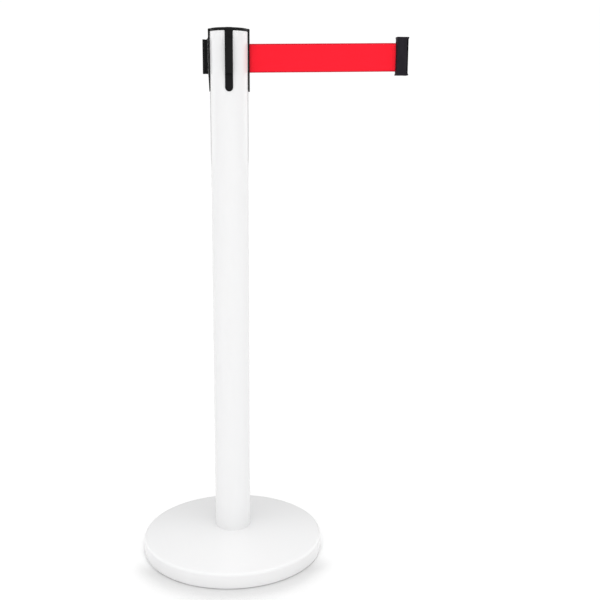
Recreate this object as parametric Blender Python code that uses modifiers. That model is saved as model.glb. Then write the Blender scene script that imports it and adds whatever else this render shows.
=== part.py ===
"""Retractable belt stanchion: a weighted base, a slotted post and a head with a spring-wound belt.

Metres, +Z up. The origin is on the floor at the centre of the base. The belt leaves the head towards +X,
and receiver rails for the belts of other posts face -X, -Y and +Y.
"""

import math

import bmesh
import bpy
from mathutils import Matrix

MM = 0.001
GAP = 0.3 * MM  # clearance left between neighbouring pieces
WIDE, MIDDLE, SMALL, TINY = 64, 32, 16, 8  # sides of the round pieces, by their size

# ---------------------------------------------------------------- driving dimensions
POST_R = 31.5 * MM
TUBE_WALL = 1.2 * MM
TUBE_TOP = 906.0 * MM
HEAD_TOP = 911.0 * MM

BASE_R = 160.0 * MM
RIM_Z = 27.5 * MM  # height of the cover's shoulder
FOOT_Z = 43.0 * MM  # height at which the post leaves the cover
COVER_WALL = 1.2 * MM
SHOULDER_R = 5.0 * MM
COVER_BOTTOM = 1.5 * MM

RING_R = 153.0 * MM
RING_INNER_R = 141.0 * MM
RING_H = 4.0 * MM

WEIGHT_R = 157.0 * MM
WEIGHT_H = 11.0 * MM
HUB_R = 44.0 * MM
COUNTERBORE_R = 22.0 * MM
COUNTERBORE_TOP = 14.8 * MM

BOLT_R = 6.0 * MM
BOLT_HEAD_R = 10.97 * MM  # 19 mm across the flats
BOLT_HEAD_H = 7.5 * MM
BOLT_HEAD_Z = 2.0 * MM
BOLT_END_Z = 60.0 * MM

BELT_Z = 864.6 * MM  # middle of the belt where it leaves the head
BELT_RISE = 4.4 * MM  # the clip is held this much higher
BELT_W = 46.0 * MM
BELT_T = 0.7 * MM
BELT_DRAWN = 242.8 * MM  # belt between the outlet and the clip in the stored pose

RIB_HALF_W = 6.4 * MM
RIB_R = 34.0 * MM
RIB_FOOT_R = 32.7 * MM
RIB_BOTTOM = 810.8 * MM
RIB_TAPER_Z = 838.0 * MM

CASING_WALL = 2.0 * MM
CASING_BOTTOM = 798.0 * MM
FLOOR_T = 3.0 * MM

RAIL_BOTTOM = 839.0 * MM
RAIL_TOP = 893.5 * MM
RAIL_R = 42.9 * MM  # outer face of the rail's head
RAIL_HEAD_T = 3.9 * MM
RAIL_NECK_T = 2.6 * MM
RAIL_HEAD_HALF_W = 6.2 * MM
RAIL_NECK_HALF_W = 3.1 * MM

AXLE_R = 3.0 * MM
HUB_SPOOL_R = 9.5 * MM
FLANGE_R = 26.0 * MM
FLANGE_T = 2.0 * MM
ROLL_R = 20.5 * MM
ARBOR_R = 6.8 * MM
DRUM_H = 24.5 * MM
SPRING_TURNS = 9
SPRING_T = 0.4 * MM
SPRING_W = 18.0 * MM

SCREW_R = 1.4 * MM
SCREW_HEAD_R = 2.8 * MM
PILOT_R = SCREW_R + GAP
BOSS_R = 3.2 * MM
BOSS_PCR = 25.4 * MM  # radius of the circle that the bosses stand on
FLOOR_SCREW_PCR = 24.6 * MM  # a little inside it, so that the heads stay on the floor plate

CLIP_L = 20.4 * MM
CLIP_HALF_W = 9.0 * MM
CLIP_BOTTOM = 839.8 * MM
CLIP_TOP = 901.5 * MM
CLIP_LIP_T = 2.0 * MM  # walls that hook behind the rail's head
PIN_R = 1.5 * MM

# ---------------------------------------------------------------- derived dimensions
TUBE_IN_R = POST_R - TUBE_WALL
SLOT_HALF_W = RIB_HALF_W + GAP
CASING_R = TUBE_IN_R - GAP
CASING_IN_R = CASING_R - CASING_WALL
CAP_BOTTOM = TUBE_TOP + GAP
WEIGHT_Z = RING_H + GAP
HUB_TOP = FOOT_Z - 4.3 * MM
TUBE_BOTTOM = HUB_TOP + GAP
BELT_LOW = BELT_Z - BELT_W / 2
BELT_HIGH = BELT_Z + BELT_W / 2
END_LOW = BELT_LOW + BELT_RISE
END_HIGH = BELT_HIGH + BELT_RISE
RAIL_BACK = RIB_R + GAP
SPOOL_BOTTOM = BELT_LOW - 3.2 * MM
SPOOL_TOP = BELT_HIGH + 4.0 * MM
FLANGE_Z = BELT_HIGH + 1.2 * MM
DRUM_TOP = SPOOL_BOTTOM - GAP
DRUM_BOTTOM = DRUM_TOP - DRUM_H
DRUM_WALL = 1.6 * MM
DRUM_FLOOR = 1.8 * MM
AXLE_BOTTOM = CASING_BOTTOM + 1.8 * MM
AXLE_TOP = TUBE_TOP - 2.0 * MM
BORE_R = AXLE_R + GAP
BUSH_R = 5.0 * MM
BUSH_FLANGE_T = 0.8 * MM
CLIP_X0 = RIB_R + BELT_DRAWN
CLIP_X1 = CLIP_X0 + CLIP_L
CHANNEL_TOP = RAIL_TOP + GAP
CHANNEL_X = CLIP_X1 - CLIP_LIP_T - RAIL_HEAD_T - 0.5 * MM
PIN_X = CLIP_X0 + 5.2 * MM

# azimuths in degrees about the post, from the belt's direction
RECEIVER_SIDES = {"front": -90.0, "left": 180.0, "rear": 90.0}
CAP_SCREW_AZIMUTHS = (135.0, 315.0)
FLOOR_SCREW_AZIMUTHS = (45.0, 135.0, 225.0, 315.0)


# ---------------------------------------------------------------- scene and helpers
def new_collection(name):
    collection = bpy.data.collections.new(name)
    bpy.context.scene.collection.children.link(collection)
    return collection


for old in list(bpy.data.objects):
    bpy.data.objects.remove(old, do_unlink=True)
PARTS = new_collection("retractable_belt_stanchion")
CUTTERS = new_collection("cutters")


def material(name, colour, roughness, metallic=0.0):
    made = bpy.data.materials.new(name)
    made.use_nodes = True
    shader = made.node_tree.nodes["Principled BSDF"]
    shader.inputs["Base Color"].default_value = (*colour, 1.0)
    shader.inputs["Roughness"].default_value = roughness
    shader.inputs["Metallic"].default_value = metallic
    return made


WHITE_PAINT = material("white_paint", (0.86, 0.87, 0.88), 0.25)
BLACK_ABS = material("black_abs", (0.025, 0.024, 0.025), 0.45)
RED_WEBBING = material("red_webbing", (0.86, 0.02, 0.035), 0.7)
CAST_IRON = material("cast_iron", (0.12, 0.12, 0.12), 0.8, 0.6)
RUBBER = material("rubber", (0.02, 0.02, 0.02), 0.9)
STEEL = material("steel", (0.62, 0.63, 0.65), 0.35, 1.0)
SPRING_STEEL = material("spring_steel", (0.30, 0.33, 0.38), 0.3, 1.0)
NYLON = material("nylon", (0.80, 0.79, 0.74), 0.5)


def placed(name, mesh, finish):
    """A new object of the stanchion, or of the cutters when it has no finish."""
    made = bpy.data.objects.new(name, mesh)
    (PARTS if finish else CUTTERS).objects.link(made)
    if finish:
        made.data.materials.append(finish)
    else:
        made.hide_render = True
        made.display_type = "WIRE"
    return made


def from_bmesh(name, bm, finish):
    mesh = bpy.data.meshes.new(name)
    bm.to_mesh(mesh)
    bm.free()
    return placed(name, mesh, finish)


def turned(name, profile, steps, finish=None, centre=(0.0, 0.0), closed=True):
    """A profile of (radius, height) points turned about a vertical axis.

    It runs from top to bottom down the outer side. An open profile begins and ends on the axis.
    """
    mesh = bpy.data.meshes.new(name)
    edges = [(i, i + 1) for i in range(len(profile) - 1)]
    if closed:
        edges.append((len(profile) - 1, 0))
    mesh.from_pydata([(r, 0.0, z) for r, z in profile], edges, [])
    made = placed(name, mesh, finish)
    made.location = (*centre, 0.0)
    screw = made.modifiers.new("Turn", "SCREW")
    screw.steps = screw.render_steps = steps
    screw.use_merge_vertices = True
    screw.merge_threshold = 0.00001
    screw.use_smooth_shade = True
    return made


def ring(name, r_in, r_out, low, high, steps, finish=None, centre=(0.0, 0.0)):
    profile = [(r_in, high), (r_out, high), (r_out, low), (r_in, low)]
    return turned(name, profile, steps, finish, centre)


def rod(name, radius, low, high, steps, finish=None, centre=(0.0, 0.0)):
    profile = [(0.0, high), (radius, high), (radius, low), (0.0, low)]
    return turned(name, profile, steps, finish, centre, closed=False)


def box(name, low, high, finish=None):
    bm = bmesh.new()
    bmesh.ops.create_cube(bm, size=1.0)
    bmesh.ops.scale(bm, vec=[b - a for a, b in zip(low, high)], verts=bm.verts)
    bmesh.ops.translate(bm, vec=[(a + b) / 2 for a, b in zip(low, high)], verts=bm.verts)
    return from_bmesh(name, bm, finish)


AXIS_FRAMES = {
    "X": Matrix(((0, 0, 1, 0), (1, 0, 0, 0), (0, 1, 0, 0), (0, 0, 0, 1))),
    "Y": Matrix(((1, 0, 0, 0), (0, 0, -1, 0), (0, 1, 0, 0), (0, 0, 0, 1))),
    "Z": Matrix.Identity(4),
}


def curve_mesh(name, points, cyclic, extrude):
    """The mesh of a flat poly curve extruded both ways, with its loose caps welded."""
    curve = bpy.data.curves.new(name, "CURVE")
    curve.dimensions = "2D"
    curve.fill_mode = "BOTH" if cyclic else "NONE"
    curve.extrude = extrude
    spline = curve.splines.new("POLY")
    spline.points.add(len(points) - 1)
    for point, (u, v) in zip(spline.points, points):
        point.co = (u, v, 0.0, 1.0)
    spline.use_cyclic_u = cyclic
    holder = bpy.data.objects.new(name, curve)
    CUTTERS.objects.link(holder)
    depsgraph = bpy.context.evaluated_depsgraph_get()
    mesh = bpy.data.meshes.new_from_object(holder.evaluated_get(depsgraph))
    bpy.data.objects.remove(holder)
    mesh.materials.clear()
    bm = bmesh.new()
    bm.from_mesh(mesh)
    bmesh.ops.remove_doubles(bm, verts=bm.verts, dist=0.000001)
    if cyclic:
        bmesh.ops.dissolve_limit(bm, angle_limit=0.001, verts=bm.verts, edges=bm.edges)
    bmesh.ops.recalc_face_normals(bm, faces=bm.faces)
    bm.to_mesh(mesh)
    bm.free()
    return mesh


def prism(name, outline, low, high, axis="Z", finish=None):
    """An outline extruded along an axis. It is in (x, y) for Z, in (y, z) for X and in (x, z) for Y."""
    mesh = curve_mesh(name, outline, True, (high - low) / 2)
    middle = (low + high) / 2 * (-1 if axis == "Y" else 1)
    mesh.transform(AXIS_FRAMES[axis] @ Matrix.Translation((0.0, 0.0, middle)))
    return placed(name, mesh, finish)


def ribbon(name, path, low, high, thickness, finish):
    """A strip standing between two heights, along a path in plan, thickened about its middle."""
    mesh = curve_mesh(name, path, False, (high - low) / 2)
    mesh.transform(Matrix.Translation((0.0, 0.0, (low + high) / 2)))
    made = placed(name, mesh, finish)
    solid = made.modifiers.new("Thickness", "SOLIDIFY")
    solid.thickness = thickness
    solid.offset = 0.0
    solid.use_even_offset = True
    return made


def lay_along(made, azimuth):
    """Turns a piece that was made standing on the Z axis to lie along +X, and then to an azimuth."""
    made.data.transform(Matrix.Rotation(math.radians(azimuth), 4, "Z"))
    return made


def combine(made, other, operation):
    boolean = made.modifiers.new(other.name, "BOOLEAN")
    boolean.operation = operation
    boolean.solver = "EXACT"
    boolean.object = other
    return made


def cut(made, *cutters):
    for cutter in cutters:
        combine(made, cutter, "DIFFERENCE")
    return made


def join(made, *others):
    for other in others:
        combine(made, other, "UNION")
    return made


def rounded(made, width, segments=2, angle=30.0):
    bevel = made.modifiers.new("Rounding", "BEVEL")
    bevel.width = width
    bevel.segments = segments
    bevel.limit_method = "ANGLE"
    bevel.angle_limit = math.radians(angle)
    return made


def arc(centre, radius, start, end, steps):
    """Points of an arc in plan or in profile, with its angles in degrees."""
    angles = [math.radians(start + (end - start) * i / steps) for i in range(steps + 1)]
    return [(centre[0] + radius * math.cos(a), centre[1] + radius * math.sin(a)) for a in angles]


def polar(radius, azimuth):
    return radius * math.cos(math.radians(azimuth)), radius * math.sin(math.radians(azimuth))


def baked(made):
    """Applies a piece's modifiers and its place to its mesh, so that it can be turned or used as a cutter."""
    depsgraph = bpy.context.evaluated_depsgraph_get()
    mesh = bpy.data.meshes.new_from_object(made.evaluated_get(depsgraph))
    mesh.transform(made.matrix_world)
    made.modifiers.clear()
    made.data = mesh
    made.matrix_world = Matrix.Identity(4)
    return made


# ---------------------------------------------------------------- base
def make_floor_ring():
    chamfer = 1.0 * MM
    profile = [
        (RING_INNER_R, RING_H),
        (RING_R, RING_H),
        (RING_R, chamfer),
        (RING_R - chamfer, 0.0),
        (RING_INNER_R + chamfer, 0.0),
        (RING_INNER_R, chamfer),
    ]
    turned("floor_ring", profile, WIDE, RUBBER)


def make_base_weight():
    """A cast disc with a raised hub that the post stands on and a counterbore for the clamp bolt."""
    bolt_hole_r = BOLT_R + 1.0 * MM
    rim_w = 12.0 * MM
    rim_top = WEIGHT_Z + WEIGHT_H + 4.0 * MM
    plate_top = WEIGHT_Z + WEIGHT_H
    profile = [
        (bolt_hole_r, HUB_TOP),
        (POST_R + 3.0 * MM, HUB_TOP),
        (HUB_R, plate_top + 10.0 * MM),
        (HUB_R + 14.0 * MM, plate_top),
        (WEIGHT_R - rim_w - 4.0 * MM, plate_top),
        (WEIGHT_R - rim_w, rim_top),
        (WEIGHT_R - 2.0 * MM, rim_top),
        (WEIGHT_R, rim_top - 2.0 * MM),
        (WEIGHT_R, WEIGHT_Z),
        (COUNTERBORE_R + 1.0 * MM, WEIGHT_Z),
        (COUNTERBORE_R, WEIGHT_Z + 1.0 * MM),
        (COUNTERBORE_R, COUNTERBORE_TOP),
        (bolt_hole_r, COUNTERBORE_TOP),
    ]
    turned("base_weight", profile, WIDE, CAST_IRON)


def make_base_cover():
    """A spun steel cover: a shallow cone that ends in a tight shoulder and an upright rim with a hem."""
    hole_r = POST_R + GAP
    slope = math.atan2(FOOT_Z - RIM_Z, BASE_R - hole_r)
    tilt = math.degrees(slope)
    centre = (BASE_R - SHOULDER_R, RIM_Z - SHOULDER_R)
    outer = arc(centre, SHOULDER_R, 90.0 - tilt, 0.0, 4)
    inner = arc(centre, SHOULDER_R - COVER_WALL, 0.0, 90.0 - tilt, 3)
    hem_r = BASE_R - 2.0 * MM
    profile = [
        (hole_r, FOOT_Z),
        *outer,
        (BASE_R, COVER_BOTTOM + 0.6 * MM),
        (BASE_R - 0.6 * MM, COVER_BOTTOM),
        (hem_r, COVER_BOTTOM),
        (hem_r, COVER_BOTTOM + COVER_WALL),
        (BASE_R - COVER_WALL, COVER_BOTTOM + COVER_WALL + 0.8 * MM),
        *inner,
        (hole_r, FOOT_Z - COVER_WALL),
    ]
    turned("base_cover", profile, WIDE, WHITE_PAINT)


def make_clamp_bolt():
    """The hexagon bolt that pulls the post down onto the base, with its washers."""
    head_top = BOLT_HEAD_Z + BOLT_HEAD_H
    bm = bmesh.new()
    bmesh.ops.create_cone(
        bm, cap_ends=True, segments=6, radius1=BOLT_HEAD_R, radius2=BOLT_HEAD_R, depth=BOLT_HEAD_H
    )
    bmesh.ops.translate(bm, vec=(0.0, 0.0, BOLT_HEAD_Z + BOLT_HEAD_H / 2), verts=bm.verts)
    bolt = from_bmesh("clamp_bolt", bm, STEEL)
    shank = rod("bolt_shank", BOLT_R, head_top - 1.0 * MM, BOLT_END_Z, SMALL)
    join(bolt, shank)

    washer_hole = BOLT_R + GAP
    spring_low = head_top + GAP
    spring_high = spring_low + 2.5 * MM
    split = box("washer_split", (0.0, -0.7 * MM, 0.0), (15 * MM, 0.7 * MM, 20 * MM))
    cut(ring("lock_washer", washer_hole, 10.2 * MM, spring_low, spring_high, SMALL, STEEL), split)
    flat_low = spring_high + GAP
    ring("plain_washer", washer_hole, 12.0 * MM, flat_low, COUNTERBORE_TOP - GAP, SMALL, STEEL)


# ---------------------------------------------------------------- post
def make_foot_plate():
    """A disc welded inside the bottom of the tube, with a threaded boss for the clamp bolt."""
    boss_r = 11.0 * MM
    plate_t = 6.0 * MM
    boss_top = BOLT_END_Z + 2.0 * MM
    profile = [
        (BOLT_R + GAP, boss_top),
        (boss_r, boss_top),
        (boss_r, TUBE_BOTTOM + plate_t),
        (TUBE_IN_R - GAP, TUBE_BOTTOM + plate_t),
        (TUBE_IN_R - GAP, TUBE_BOTTOM),
        (BOLT_R + GAP, TUBE_BOTTOM),
    ]
    turned("foot_plate", profile, MIDDLE, STEEL)


def stadium(half_width, bottom, top, steps=8):
    """An upright outline in (y, z) with a round lower end and a square top."""
    foot = arc((0.0, bottom + half_width), half_width, 180.0, 360.0, steps)
    return [(-half_width, top), *foot, (half_width, top)]


def make_post_tube():
    """The steel tube, with four slots at its top that take the ribs of the head."""
    tube = ring("post_tube", TUBE_IN_R, POST_R, TUBE_BOTTOM, TUBE_TOP, WIDE, WHITE_PAINT)
    outline = stadium(SLOT_HALF_W, RIB_BOTTOM - GAP, TUBE_TOP + 5 * MM)
    reach = POST_R + 5 * MM
    cut(tube, prism("slots_left_right", outline, -reach, reach, "X"))
    cut(tube, prism("slots_front_rear", outline, -reach, reach, "Y"))


# ---------------------------------------------------------------- head
def rib(azimuth, tapered):
    """An upright rib of the casing with a round lower end. One that carries a rail is drawn in below it."""
    root_r = CASING_R - CASING_WALL / 2
    foot_r = RIB_FOOT_R if tapered else RIB_R
    side = [
        (root_r, RIB_BOTTOM - 1 * MM),
        (foot_r, RIB_BOTTOM - 1 * MM),
        (RIB_R, RIB_TAPER_Z),
        (RIB_R, TUBE_TOP),
        (root_r, TUBE_TOP),
    ]
    if not tapered:
        side.pop(2)
    name = f"rib_{azimuth:.0f}"
    body = prism(name, side, -RIB_HALF_W * 1.5, RIB_HALF_W * 1.5, "Y")
    front = prism(
        name + "_front", stadium(RIB_HALF_W, RIB_BOTTOM, TUBE_TOP + 5 * MM), root_r - 5 * MM, 50 * MM, "X"
    )
    combine(body, front, "INTERSECT")
    return lay_along(baked(body), azimuth)


def rail_screw_heights():
    return RAIL_BOTTOM + 11 * MM, RAIL_TOP - 11 * MM


def screw_profile(head_z, tip_z, grow=0.0):
    """A countersunk screw, head up, or its hole when it grows by a clearance."""
    head_r, shank_r = SCREW_HEAD_R + grow, SCREW_R + grow
    cone = SCREW_HEAD_R - SCREW_R
    way = 1 if head_z > tip_z else -1
    rim = 0.3 * MM
    return [
        (0.0, head_z + way * grow * 4),
        (head_r, head_z + way * grow * 4),
        (head_r, head_z - way * rim),
        (shank_r, head_z - way * (rim + cone)),
        (shank_r, tip_z - way * grow),
        (0.0, tip_z - way * grow),
    ]


def rail_screw(name, azimuth, height, finish, grow=0.0):
    """A screw that goes outwards through the casing and a rib into a rail."""
    head_r, tip_r = CASING_IN_R + 0.2 * MM, RAIL_R - 1.8 * MM
    made = turned(name, screw_profile(-head_r, -tip_r, grow), TINY, finish, closed=False)
    baked(made)
    made.data.transform(Matrix.Rotation(math.radians(-90.0), 4, "Y"))
    made.data.transform(Matrix.Translation((0.0, 0.0, height)))
    return lay_along(made, azimuth)


def make_head_casing():
    """The moulded sleeve that drops into the tube, with four ribs, screw bosses and the belt's outlet."""
    casing = ring("head_casing", CASING_IN_R, CASING_R, CASING_BOTTOM, TUBE_TOP, WIDE, BLACK_ABS)
    join(casing, rib(0.0, False))
    for azimuth in RECEIVER_SIDES.values():
        join(casing, rib(azimuth, True))
    for azimuth in CAP_SCREW_AZIMUTHS:
        centre = polar(BOSS_PCR, azimuth)
        low = SPOOL_TOP + GAP
        join(casing, rod(f"cap_boss_{azimuth:.0f}", BOSS_R, low, TUBE_TOP, SMALL, centre=centre))
        cut(casing, rod(f"cap_pilot_{azimuth:.0f}", PILOT_R, low + 1 * MM, HEAD_TOP, TINY, centre=centre))
    for azimuth in FLOOR_SCREW_AZIMUTHS:
        centre = polar(BOSS_PCR, azimuth)
        low = CASING_BOTTOM + FLOOR_T + GAP
        high = low + 10 * MM
        join(casing, rod(f"floor_boss_{azimuth:.0f}", BOSS_R, low, high, SMALL, centre=centre))
        centre = polar(FLOOR_SCREW_PCR, azimuth)
        pilot = rod(f"floor_pilot_{azimuth:.0f}", PILOT_R, low - 1 * MM, high - 1 * MM, TINY, centre=centre)
        cut(casing, pilot)
    for azimuth in RECEIVER_SIDES.values():
        for height in rail_screw_heights():
            cut(casing, rail_screw(f"rail_hole_{azimuth:.0f}_{height:.3f}", azimuth, height, None, GAP))
    outlet_half = 1.2 * MM
    outlet_low = (CASING_IN_R - 5 * MM, -outlet_half, BELT_LOW - 1.6 * MM)
    outlet_high = (RIB_R + 5 * MM, outlet_half, END_HIGH + 1.6 * MM)
    cut(casing, box("belt_outlet", outlet_low, outlet_high))


def make_casing_floor():
    """The plate that closes the casing below and holds the lower end of the axle."""
    boss_r = 8.0 * MM
    floor_top = CASING_BOTTOM + FLOOR_T
    boss_top = floor_top + 7 * MM
    socket_bottom = AXLE_BOTTOM - GAP
    profile = [
        (0.0, socket_bottom),
        (BORE_R, socket_bottom),
        (BORE_R, boss_top),
        (boss_r, boss_top),
        (boss_r, floor_top),
        (CASING_IN_R - GAP, floor_top),
        (CASING_IN_R - GAP, CASING_BOTTOM),
        (0.0, CASING_BOTTOM),
    ]
    plate = turned("casing_floor", profile, MIDDLE, BLACK_ABS, closed=False)
    for number, azimuth in enumerate(FLOOR_SCREW_AZIMUTHS, 1):
        centre = polar(FLOOR_SCREW_PCR, azimuth)
        head_z = CASING_BOTTOM + 0.2 * MM
        tip_z = floor_top + 8 * MM
        # drawn head up and then turned over, because the head faces down
        hole = turned(f"floor_hole_{number}", screw_profile(-head_z, -tip_z, GAP), TINY, closed=False)
        screw = turned(f"floor_screw_{number}", screw_profile(-head_z, -tip_z), TINY, STEEL, closed=False)
        for piece in (hole, screw):
            baked(piece)
            piece.data.transform(Matrix.Rotation(math.radians(180.0), 4, "X"))
            piece.data.transform(Matrix.Translation((*centre, 0.0)))
        cut(plate, hole)


def make_head_cap():
    """The flat cap, with an ear over each rib and a socket below for the upper end of the axle."""
    outline = []
    draft = 0.15 * MM  # the ears narrow a little towards their ends
    half_angle = math.degrees(math.asin((RIB_HALF_W + draft) / (POST_R + GAP)))
    for quarter in (0.0, 90.0, 180.0, 270.0):
        along, across = polar(1.0, quarter), polar(1.0, quarter + 90.0)
        for side in (-RIB_HALF_W, RIB_HALF_W):
            outline.append(tuple(RIB_R * a + side * b for a, b in zip(along, across)))
        outline += arc((0.0, 0.0), POST_R + GAP, quarter + half_angle, quarter + 90.0 - half_angle, 12)
    cap = prism("head_cap", outline, CAP_BOTTOM, HEAD_TOP, "Z", BLACK_ABS)
    boss = ring("cap_boss", BORE_R, 7.0 * MM, SPOOL_TOP + 3.5 * MM, CAP_BOTTOM + 1 * MM, SMALL)
    join(cap, boss)
    for number, azimuth in enumerate(CAP_SCREW_AZIMUTHS, 1):
        centre = polar(BOSS_PCR, azimuth)
        head_z = HEAD_TOP - 0.3 * MM
        tip_z = SPOOL_TOP + 3.5 * MM
        turned(f"cap_screw_{number}", screw_profile(head_z, tip_z), SMALL, STEEL, centre, closed=False)
        cut(cap, turned(f"cap_hole_{number}", screw_profile(head_z, tip_z, GAP), SMALL, None, centre, False))


def rail_outline():
    """The rail in plan, standing off along +X: a back plate, a neck and a head."""
    head_back = RAIL_R - RAIL_HEAD_T
    neck_back = head_back - RAIL_NECK_T
    half = [
        (RAIL_BACK, RIB_HALF_W),
        (neck_back, RIB_HALF_W),
        (neck_back, RAIL_NECK_HALF_W),
        (head_back, RAIL_NECK_HALF_W),
        (head_back, RAIL_HEAD_HALF_W),
        (RAIL_R - 1 * MM, RAIL_HEAD_HALF_W),
        (RAIL_R, RAIL_HEAD_HALF_W - 1 * MM),
    ]
    return half + [(x, -y) for x, y in reversed(half)]


def make_receiver_rails():
    """Three upright T-shaped rails that the belt clips of other posts slide onto."""
    for side, azimuth in RECEIVER_SIDES.items():
        rail = prism(f"receiver_rail_{side}", rail_outline(), RAIL_BOTTOM, RAIL_TOP, "Z", BLACK_ABS)
        lay_along(rail, azimuth)
        for number, height in enumerate(rail_screw_heights(), 1):
            pilot = rod(f"rail_pilot_{side}_{number}", PILOT_R, RAIL_BACK - 1 * MM, RAIL_R - 1 * MM, TINY)
            baked(pilot)
            pilot.data.transform(Matrix.Rotation(math.radians(90.0), 4, "Y"))
            pilot.data.transform(Matrix.Translation((0.0, 0.0, height)))
            cut(rail, lay_along(pilot, azimuth))
            rail_screw(f"rail_screw_{side}_{number}", azimuth, height, STEEL)


# ---------------------------------------------------------------- belt reel
def make_axle():
    """The fixed axle, its spring arbor, the washer under the spool and the circlip above it."""
    rod("spool_axle", AXLE_R, AXLE_BOTTOM, AXLE_TOP, SMALL, STEEL)
    arbor_top = SPOOL_BOTTOM - 2.7 * MM
    ring("spring_arbor", BORE_R, ARBOR_R, DRUM_BOTTOM + 1.5 * MM, arbor_top, SMALL, STEEL)
    washer_low = arbor_top + GAP
    ring("thrust_washer", BORE_R, 7.0 * MM, washer_low, washer_low + 1 * MM, SMALL, NYLON)
    clip_low = SPOOL_TOP + BUSH_FLANGE_T + 2 * GAP
    circlip = ring("axle_circlip", BORE_R, 5.8 * MM, clip_low, clip_low + 1 * MM, SMALL, SPRING_STEEL)
    cut(circlip, box("circlip_split", (0.0, -2 * MM, clip_low - MM), (9 * MM, 2 * MM, clip_low + 3 * MM)))


def make_spool():
    """The moulded spool, whose lower flange closes the spring drum, its upper flange and two bushes."""
    neck_r = HUB_SPOOL_R - 1.5 * MM
    bore_r = BUSH_R + GAP
    profile = [
        (bore_r, SPOOL_TOP),
        (neck_r, SPOOL_TOP),
        (neck_r, FLANGE_Z - GAP),
        (HUB_SPOOL_R, FLANGE_Z - GAP),
        (HUB_SPOOL_R, SPOOL_BOTTOM + FLANGE_T),
        (FLANGE_R, SPOOL_BOTTOM + FLANGE_T),
        (FLANGE_R, SPOOL_BOTTOM),
        (bore_r, SPOOL_BOTTOM),
    ]
    pieces = [turned("spool", profile, MIDDLE, NYLON)]
    pieces.append(
        ring("spool_flange", neck_r + GAP, FLANGE_R, FLANGE_Z, FLANGE_Z + FLANGE_T, MIDDLE, NYLON)
    )
    bush_l = 8.0 * MM
    for name, face, way in (("lower_bush", SPOOL_BOTTOM, 1), ("upper_bush", SPOOL_TOP, -1)):
        flange_r = BUSH_R + 1.5 * MM
        outer = face - way * (GAP + BUSH_FLANGE_T)
        shoulder = face - way * GAP
        inner = face + way * bush_l
        bush = [
            (BORE_R, inner),
            (BUSH_R, inner),
            (BUSH_R, shoulder),
            (flange_r, shoulder),
            (flange_r, outer),
            (BORE_R, outer),
        ]
        pieces.append(turned(name, bush if way > 0 else bush[::-1], SMALL, NYLON))
    return pieces


def make_spring_drum():
    """The cup below the spool, and the flat spring coiled in it from the arbor out to its wall."""
    drum_in_r = FLANGE_R - DRUM_WALL
    hole_r = ARBOR_R + 2 * GAP
    profile = [
        (drum_in_r, DRUM_TOP),
        (FLANGE_R, DRUM_TOP),
        (FLANGE_R, DRUM_BOTTOM),
        (hole_r, DRUM_BOTTOM),
        (hole_r, DRUM_BOTTOM + DRUM_FLOOR),
        (drum_in_r, DRUM_BOTTOM + DRUM_FLOOR),
    ]
    drum = turned("spring_drum", profile, MIDDLE, NYLON)
    first_r = ARBOR_R + GAP + SPRING_T
    last_r = drum_in_r - GAP - SPRING_T
    steps = SPRING_TURNS * SMALL
    step_deg = 360.0 / SMALL
    coil = [polar(first_r + (last_r - first_r) * i / steps, step_deg * i) for i in range(steps + 1)]
    low = (DRUM_BOTTOM + DRUM_FLOOR + DRUM_TOP - SPRING_W) / 2
    return [drum, ribbon("mainspring", coil, low, low + SPRING_W, SPRING_T, SPRING_STEEL)]


def make_belt_roll():
    return ring("belt_roll", HUB_SPOOL_R + GAP, ROLL_R, BELT_LOW, BELT_HIGH, MIDDLE, RED_WEBBING)


def make_belt_lead():
    """The stretch of belt inside the casing, from the roll to the outlet, bent round the outlet's lip."""
    mouth_x = CASING_IN_R - 1.5 * MM
    roll_r = ROLL_R + GAP + BELT_T / 2
    bend_r = 2.0 * MM
    leave = math.acos((roll_r + bend_r) / math.hypot(mouth_x, bend_r)) + math.atan2(bend_r, mouth_x)
    leave_deg = math.degrees(leave)
    start = polar(roll_r, leave_deg)
    bend = arc((mouth_x, bend_r), bend_r, 180.0 + leave_deg, 270.0, 5)
    ribbon("belt_lead", [start, *bend, (RIB_R - GAP, 0.0)], BELT_LOW, BELT_HIGH, BELT_T, RED_WEBBING)


# ---------------------------------------------------------------- belt end
def make_belt_strap():
    """The drawn belt from the outlet to the clip, which lengthens and shortens with the pull."""
    low = (RIB_R + GAP / 2, -BELT_T / 2, BELT_LOW)
    high = (CLIP_X0 - GAP, BELT_T / 2, BELT_HIGH)
    strap = box("belt_strap", low, high, RED_WEBBING)
    rise = Matrix.Identity(4)
    rise[2][0] = BELT_RISE / (high[0] - low[0])
    rise[2][3] = -rise[2][0] * low[0]
    strap.data.transform(rise)
    return strap


def make_clip_body():
    """The moulded clip: a channel that hooks over a receiver rail, and a slot and bore for the belt's end."""
    body_low = (CLIP_X0, -CLIP_HALF_W, CLIP_BOTTOM)
    body_high = (CLIP_X1, CLIP_HALF_W, CLIP_TOP)
    clip = rounded(box("clip_body", body_low, body_high, BLACK_ABS), 1.2 * MM)
    pocket_half = RAIL_HEAD_HALF_W + 0.4 * MM
    mouth_half = RAIL_NECK_HALF_W + 0.6 * MM
    below = CLIP_BOTTOM - 5 * MM
    pocket_end = CLIP_X1 - CLIP_LIP_T
    cut(
        clip,
        box("clip_pocket", (CHANNEL_X, -pocket_half, below), (pocket_end, pocket_half, CHANNEL_TOP)),
        box("clip_mouth", (pocket_end - MM, -mouth_half, below), (CLIP_X1 + 5 * MM, mouth_half, CHANNEL_TOP)),
        rod("clip_bore", PIN_R + BELT_T + 4 * GAP, below, END_HIGH + 2 * MM, SMALL, centre=(PIN_X, 0.0)),
        box("clip_slot", (CLIP_X0 - 5 * MM, -1.3 * MM, END_LOW - MM), (PIN_X, 1.3 * MM, END_HIGH + MM)),
    )
    return clip


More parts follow.
